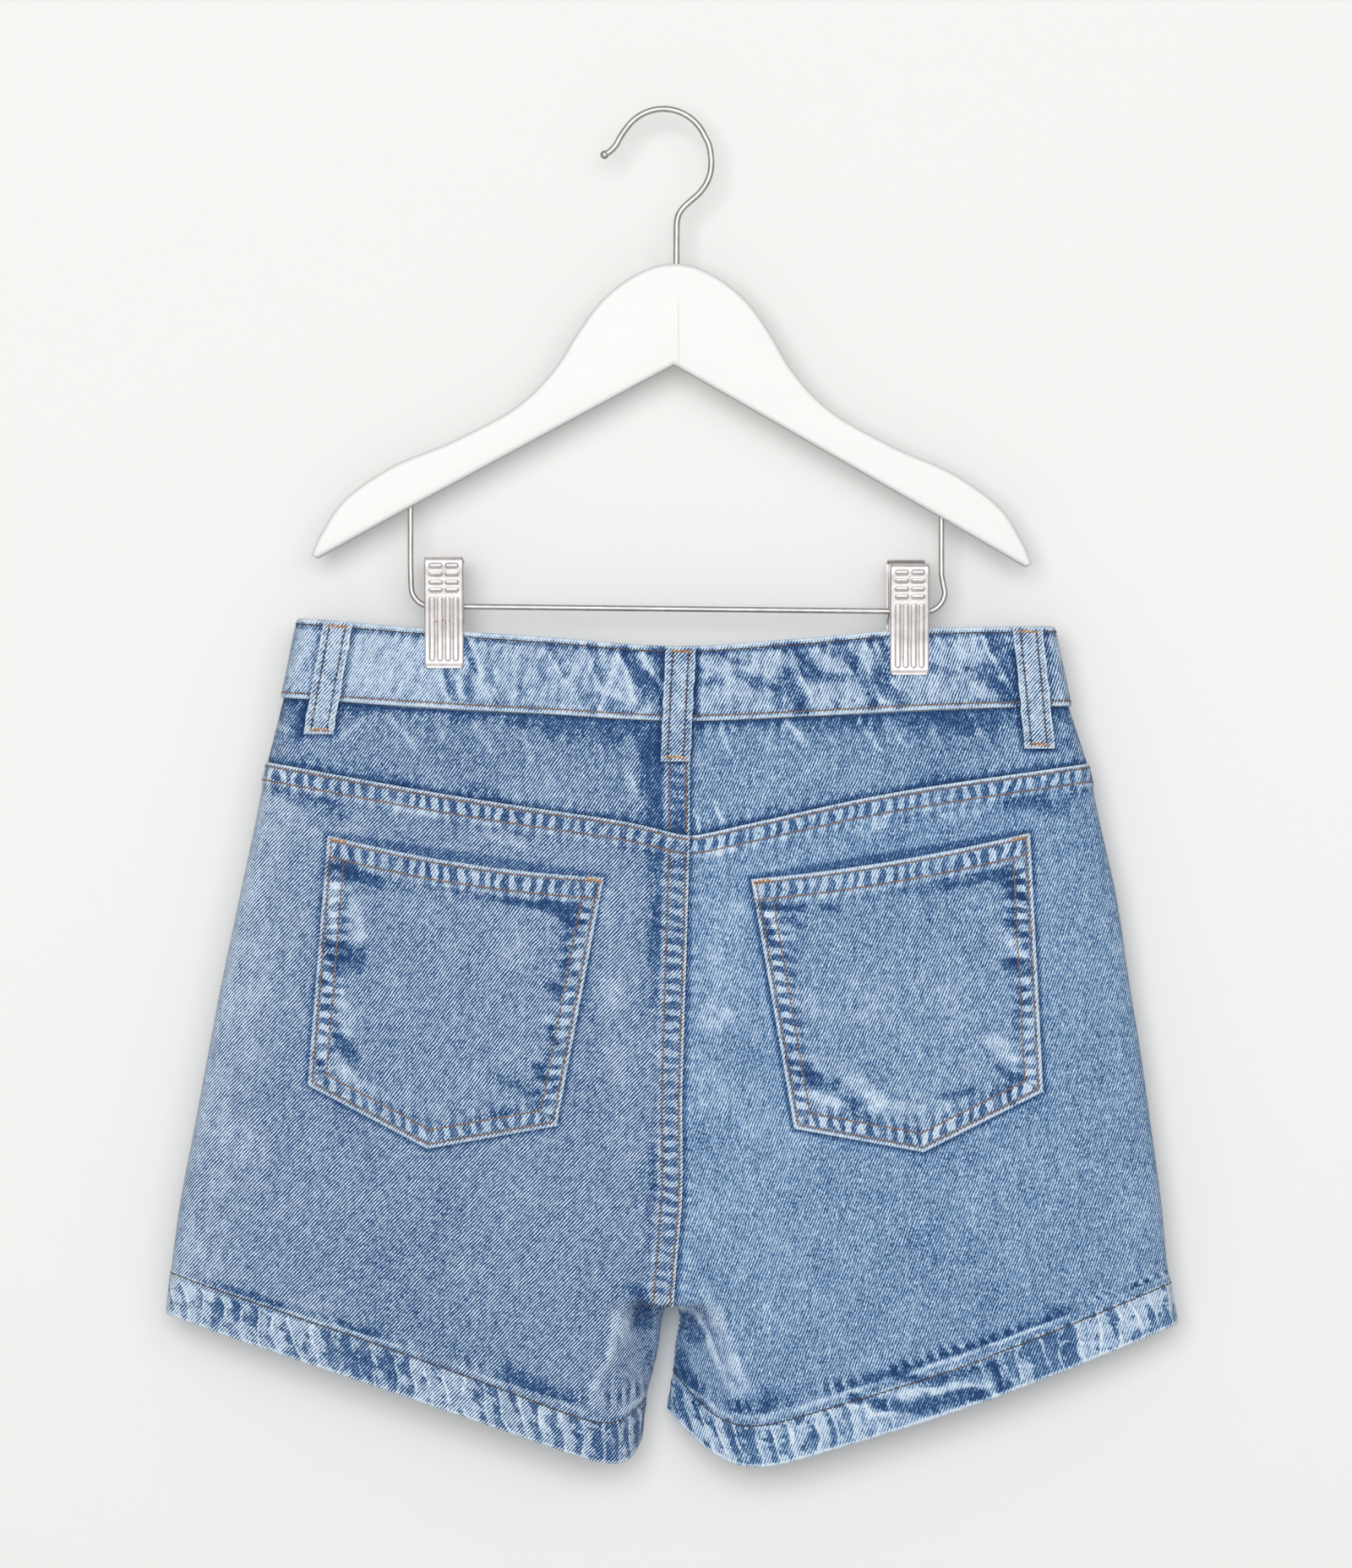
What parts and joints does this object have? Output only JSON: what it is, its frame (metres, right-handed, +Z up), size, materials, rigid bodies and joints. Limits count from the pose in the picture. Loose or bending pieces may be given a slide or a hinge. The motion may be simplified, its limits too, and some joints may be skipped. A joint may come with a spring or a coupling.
{
  "type": "denim shorts on a clip hanger",
  "caption": "Child's light-washed denim shorts, held by the waistband on a wooden hanger with a round hook and a wire bar of sprung metal clips, open at the waist and legs.",
  "frame": {"origin": "the inner top of the hanger's hook, where it hangs on a peg", "axes": "+Z up as it hangs, +Y from the back of the shorts to the front, +X towards the wearer's right leg"},
  "size_m": [0.4494, 0.0437, 0.6018],
  "materials": {
    "denim": "washed cotton twill",
    "pale_denim": "worn cotton twill",
    "white_paint": "satin white lacquer on wood",
    "steel": "bright nickel-plated steel"
  },
  "bodies": {
    "root": {"waistband": "denim", "back_yoke_left": "denim", "back_yoke_right": "denim", "back_panel_left": "denim", "back_panel_right": "denim", "front_panel_left": "denim", "front_panel_right": "denim", "back_pocket_left": "denim", "back_pocket_right": "denim", "fly_flap": "denim", "belt_loop_back_left": "pale_denim", "belt_loop_back_middle": "pale_denim", "belt_loop_back_right": "pale_denim", "belt_loop_front_left": "pale_denim", "belt_loop_front_right": "pale_denim", "waist_button": "steel", "hanger_wood": "white_paint", "hanger_hook": "steel", "trouser_bar": "steel", "clip_left_back_jaw": "steel", "clip_left_front_jaw": "steel", "clip_left_spring": "steel", "clip_right_back_jaw": "steel", "clip_right_front_jaw": "steel", "clip_right_spring": "steel"}
  },
  "joints": []
}
